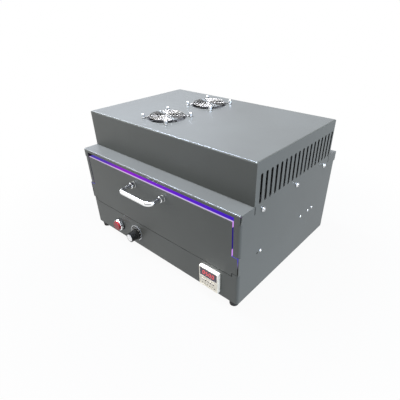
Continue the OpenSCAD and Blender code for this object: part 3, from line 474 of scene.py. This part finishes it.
# dark and light tone, roughness, specular level and the nodes of each plastic
PLASTICS = {
    "fan_black": (rgb(22, 22, 23), rgb(34, 34, 35), 0.42, SHINE, [
        "fan_frame_front", "fan_frame_rear", "fan_rotor_front", "fan_rotor_rear"]),
    "part_black": (rgb(24, 24, 25), rgb(36, 36, 37), 0.5, SHINE, [
        "power_inlet", "timer_clamp", "button_body"]),
    "knob_black": (rgb(14, 14, 12), rgb(24, 24, 22), 0.34, 0.22, ["control_knob"]),
    "timer_cream": (rgb(252, 244, 224), rgb(255, 250, 236), 0.36, SHINE, ["timer_case"]),
    "block_cream": (rgb(222, 214, 196), rgb(236, 228, 212), 0.45, SHINE, ["terminal_block"]),
    "key_cream": (rgb(240, 233, 220), rgb(250, 244, 232), 0.4, SHINE, [
        n for n in nodes if n.startswith("timer_key")]),
    "lead_insulation": (rgb(30, 30, 34), rgb(46, 46, 52), 0.5, SHINE, ["wiring"]),
}


def finish_nodes():
    made = {}
    for finish, names in FINISHES.items():
        made.update(dict.fromkeys(names, finish()))
    for label, names in FRAME_MATERIALS.items():
        made.update(dict.fromkeys(names, bpy.data.materials[label]))
    for label, (dark, light, roughness, shine, names) in PLASTICS.items():
        plastic = moulded_plastic(label, dark, light, roughness, shine)
        made.update(dict.fromkeys(names, plastic))
    for name, material in made.items():
        slots = nodes[name].data.materials
        slots.clear()
        slots.append(material)
    bare = sorted(set(nodes) - set(made))
    if bare:
        raise ValueError("no finish for " + ", ".join(bare))


# ---------- small modelled pieces ----------

def mesh_object(name, shape, material):
    """Turns a bmesh into an object of the scene."""
    mesh = bpy.data.meshes.new(name)
    shape.to_mesh(mesh)
    shape.free()
    mesh.materials.append(material)
    made = bpy.data.objects.new(name, mesh)
    bpy.context.scene.collection.objects.link(made)
    return made


def piece(name, build, material, body):
    """A new piece: build fills a bmesh in the object's own frame."""
    shape = bmesh.new()
    build(shape)
    bmesh.ops.recalc_face_normals(shape, faces=shape.faces)
    made = mesh_object(name, shape, material)
    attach(made, body)


def slab(shape, centre, size, turn=Matrix()):
    """A block; turn is applied about its centre."""
    matrix = Matrix.Translation(centre) @ turn @ Matrix.Diagonal((*size, 1))
    bmesh.ops.create_cube(shape, size=1, matrix=matrix)


def disc(shape, centre, radius, thickness, segments):
    """A short cylinder that faces along Y."""
    matrix = Matrix.Translation(centre) @ Matrix.Rotation(math.radians(90), 4, "X")
    bmesh.ops.create_cone(
        shape, cap_ends=True, segments=segments, radius1=radius, radius2=radius,
        depth=thickness, matrix=matrix)


INK = 0.08 * MM            # thickness of a printed mark
DIGIT_W = 5.4 * MM
DIGIT_H = 9.2 * MM
DIGIT_PITCH = 7.8 * MM
STROKE = 1.15 * MM
SLANT = 0.12               # how far a digit leans, against its height
SEGMENTS = {"0": "abcdef", "5": "afgcd"}
DISPLAY = "0500"


def display_digits(shape):
    """Four lit digits of seven bars each, on the timer's window."""
    low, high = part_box("timer_window")
    face = low.y - INK / 2
    middle = (low + high) / 2
    half_w, half_h = (DIGIT_W - STROKE) / 2, (DIGIT_H - STROKE) / 2
    bars = {
        "a": (0, half_h, True), "g": (0, 0, True), "d": (0, -half_h, True),
        "f": (-half_w, half_h / 2, False), "b": (half_w, half_h / 2, False),
        "e": (-half_w, -half_h / 2, False), "c": (half_w, -half_h / 2, False)}
    for place, digit in enumerate(DISPLAY):
        centre_x = middle.x + (place - (len(DISPLAY) - 1) / 2) * DIGIT_PITCH
        for bar in SEGMENTS[digit]:
            x, z, level = bars[bar]
            lying = (DIGIT_W - 1.5 * STROKE, INK, STROKE)
            standing = (STROKE, INK, half_h - 0.2 * STROKE)
            size = lying if level else standing
            slab(shape, Vector((centre_x + x + z * SLANT, face, middle.z + z)), size)


LABELS = 6                 # printed marks below the timer's keys
LABEL_SIZE = (1.5 * MM, INK, 3.4 * MM)
LABEL_RISE = 6.4 * MM      # above the timer's lower edge
LABEL_LEAN = 25            # degrees
FACE_RIM = 0.5 * MM        # depth of the key field in the timer's front
KEY_DOT = 1.6 * MM


def timer_marks(shape):
    """A row of slanted printed strokes below the keys."""
    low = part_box("timer_case")[0]
    face = low.y + FACE_RIM - INK / 2
    first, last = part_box("timer_key_1")[0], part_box("timer_key_5")[1]
    turn = Matrix.Rotation(math.radians(LABEL_LEAN), 4, "Y")
    for place in range(LABELS):
        x = first.x + (last.x - first.x) * place / (LABELS - 1)
        slab(shape, Vector((x, face, low.z + LABEL_RISE)), LABEL_SIZE, turn)


def key_mark(shape, number):
    """A dot on a key of the timer."""
    low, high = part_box("timer_key_%d" % number)
    middle = (low + high) / 2
    disc(shape, Vector((middle.x, low.y - INK / 2, middle.z)), KEY_DOT, INK, 16)


DIAL_SWEEP = 300           # degrees
DIAL_STEPS = 10
DIAL_MARK = (2.4 * MM, INK, 2.8 * MM)
DIAL_MARK_R = 15.2 * MM
DIAL_FACE = 0.4 * MM       # depth of the plate's face behind its rim
POINTER = (1.1 * MM, INK, 1.6 * MM)
POINTER_R = 12.2 * MM
SKIRT = 3 * MM             # thickness of the knob's skirt


def dial_marks(shape):
    """Strokes on the dial plate round the knob's skirt."""
    low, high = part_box("control_knob")
    centre = (low + high) / 2
    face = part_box("dial_plate")[0].y + DIAL_FACE - INK / 2
    for step in range(DIAL_STEPS + 1):
        angle = math.radians(-DIAL_SWEEP / 2 + DIAL_SWEEP * step / DIAL_STEPS)
        turn = Matrix.Rotation(angle, 4, "Y")
        offset = turn @ Vector((0, 0, DIAL_MARK_R))
        slab(shape, Vector((centre.x, face, centre.z)) + offset, DIAL_MARK, turn)


def knob_pointer(shape):
    """White line on the knob's skirt."""
    low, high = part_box("control_knob")
    centre = (low + high) / 2
    turn = Matrix.Rotation(math.radians(-DIAL_SWEEP / 2), 4, "Y")
    offset = turn @ Vector((0, 0, POINTER_R))
    slab(shape, Vector((centre.x, high.y - SKIRT - INK, centre.z)) + offset, POINTER, turn)


def small_pieces():
    piece("display_digits", display_digits, lit_material("digit_red", rgb(232, 82, 84), 1.1, 900),
          "case")
    ink_dark = printed_ink("ink_dark", rgb(62, 58, 52), rgb(84, 78, 70))
    ink_grey = printed_ink("ink_grey", rgb(128, 122, 114), rgb(150, 142, 132))
    ink_white = printed_ink("ink_white", rgb(226, 226, 222), rgb(244, 244, 240))
    piece("timer_marks", timer_marks, ink_grey, "case")
    for number in range(1, 6):
        piece("key_mark_%d" % number, lambda shape, n=number: key_mark(shape, n), ink_dark,
              "key_%d" % number)
    piece("dial_marks", dial_marks, ink_white, "case")
    piece("knob_pointer", knob_pointer, ink_white, "dial_knob")


# ---------- studio ----------

FLOOR_GREY = 0.15          # what the floor throws back; its white is mostly its own light
FLOOR_OWN = (0.95, 0.05)   # share of its own light near the object, and how much more far away


def floor():
    """Pale floor that turns plain white away from the object."""
    made = Maker("studio_floor")
    radius = (made.x ** 2 + made.y ** 2) ** 0.5
    path = made.raw("ShaderNodeLightPath", {}, {})
    rays = [Value(made, path.outputs[name]) for name in (
        "Is Camera Ray", "Is Glossy Ray", "Is Transmission Ray")]
    every = rays[0] + rays[1] + rays[2]
    seen = every.maths("MINIMUM", every, 1.0)
    lit = made.node("ShaderNodeBsdfDiffuse", {}, {"Color": grey(FLOOR_GREY)})
    plain = made.node("ShaderNodeEmission", {}, {"Color": grey(1.0), "Strength": 1.0})
    far = radius.rise(0.30, 0.75)
    mixed = made.node("ShaderNodeMixShader", {}, [seen * (FLOOR_OWN[0] + far * FLOOR_OWN[1]), lit, plain])
    made.close(mixed)
    shape = bmesh.new()
    bmesh.ops.create_grid(shape, x_segments=1, y_segments=1, size=20)
    mesh_object("studio_floor", shape, made.material)


def world(level, mirrored):
    """White to the camera and to glass, at mirrored to glossy surfaces and at level to the rest."""
    surroundings = bpy.data.worlds.new("studio")
    surroundings.use_nodes = True
    tree = surroundings.node_tree
    tree.nodes.clear()
    path = tree.nodes.new("ShaderNodeLightPath")
    seen = tree.nodes.new("ShaderNodeMath")
    seen.operation = "MAXIMUM"
    tree.links.new(path.outputs["Is Camera Ray"], seen.inputs[0])
    tree.links.new(path.outputs["Is Transmission Ray"], seen.inputs[1])
    gloss = tree.nodes.new("ShaderNodeMapRange")
    gloss.inputs["To Min"].default_value = level
    gloss.inputs["To Max"].default_value = mirrored
    tree.links.new(path.outputs["Is Glossy Ray"], gloss.inputs["Value"])
    strength = tree.nodes.new("ShaderNodeMapRange")
    strength.inputs["To Max"].default_value = 1.0
    tree.links.new(gloss.outputs[0], strength.inputs["To Min"])
    tree.links.new(seen.outputs[0], strength.inputs["Value"])
    light = tree.nodes.new("ShaderNodeBackground")
    light.inputs["Color"].default_value = grey(1.0)
    tree.links.new(strength.outputs[0], light.inputs["Strength"])
    output = tree.nodes.new("ShaderNodeOutputWorld")
    tree.links.new(light.outputs[0], output.inputs[0])
    bpy.context.scene.world = surroundings


def lamp(name, place, target, size, radiance, colour):
    """A soft box of a given radiance, aimed at target."""
    light = bpy.data.lights.new(name, "AREA")
    light.shape = "RECTANGLE"
    light.size, light.size_y = size
    light.energy = radiance * math.pi * size[0] * size[1]
    light.color = colour
    holder = bpy.data.objects.new(name, light)
    aim = Vector(place) - Vector(target)
    turn = aim.to_track_quat("Z", "Y").to_matrix().to_4x4()
    holder.matrix_world = Matrix.Translation(place) @ turn
    bpy.context.scene.collection.objects.link(holder)


MIDDLE = (0, 0, 0.18)
BOX = (1.4, 1.2)
COOL = (0.86, 0.89, 1)
# name, place, aim, size, radiance and colour
LAMPS = [
    ("overhead_strip", (-0.35, -0.17, 1.7), (-0.35, -0.17, 0.2), (2.4, 0.25), 64.0, (0.82, 0.86, 1)),
    ("left_strip", (-1.75, -0.12, 1.3), (0, -0.14, 0.25), (0.3, 1.2), 18.0, (0.9, 0.94, 1)),
    ("back_left_box", (-1.6, 1.1, 1.1), MIDDLE, BOX, 1.2, COOL),
    ("back_box", (-0.5, 2.0, 1.1), MIDDLE, BOX, 0.55, COOL),
    ("right_box", (2.2, 0.2, 1.0), MIDDLE, BOX, 13.5, (0.68, 0.81, 1)),
    ("front_box", (-1.3, -1.7, 0.8), MIDDLE, (1.4, 1.0), 3.5, (1, 0.97, 0.88)),
]


CAMERA_PLACE = (0.48462, -0.51795, 0.50058)
CAMERA_AZIMUTH = 41.486
CAMERA_ELEVATION = 32.369
CAMERA_ROLL = -0.745
CAMERA_LENS = 29.896
CAMERA_SHIFT = (-0.0268, 0.0321)


def camera():
    data = bpy.data.cameras.new("camera")
    data.lens = CAMERA_LENS
    data.sensor_width = 36
    data.shift_x, data.shift_y = CAMERA_SHIFT
    azimuth, elevation = math.radians(CAMERA_AZIMUTH), math.radians(CAMERA_ELEVATION)
    back = Vector((
        math.sin(azimuth) * math.cos(elevation),
        -math.cos(azimuth) * math.cos(elevation),
        math.sin(elevation)))
    right = (-back).cross(Vector((0, 0, 1))).normalized()
    up = back.cross(right)
    roll = math.radians(CAMERA_ROLL)
    turned_right = right * math.cos(roll) + up * math.sin(roll)
    turned_up = up * math.cos(roll) - right * math.sin(roll)
    holder = bpy.data.objects.new("camera", data)
    rotation = Matrix((turned_right, turned_up, back)).transposed().to_4x4()
    holder.matrix_world = Matrix.Translation(CAMERA_PLACE) @ rotation
    bpy.context.scene.collection.objects.link(holder)
    bpy.context.scene.camera = holder


camera()
finish_nodes()
small_pieces()
floor()
world(0.35, 0.5)
for row in LAMPS:
    lamp(*row)
bpy.context.scene.view_settings.view_transform = "Standard"
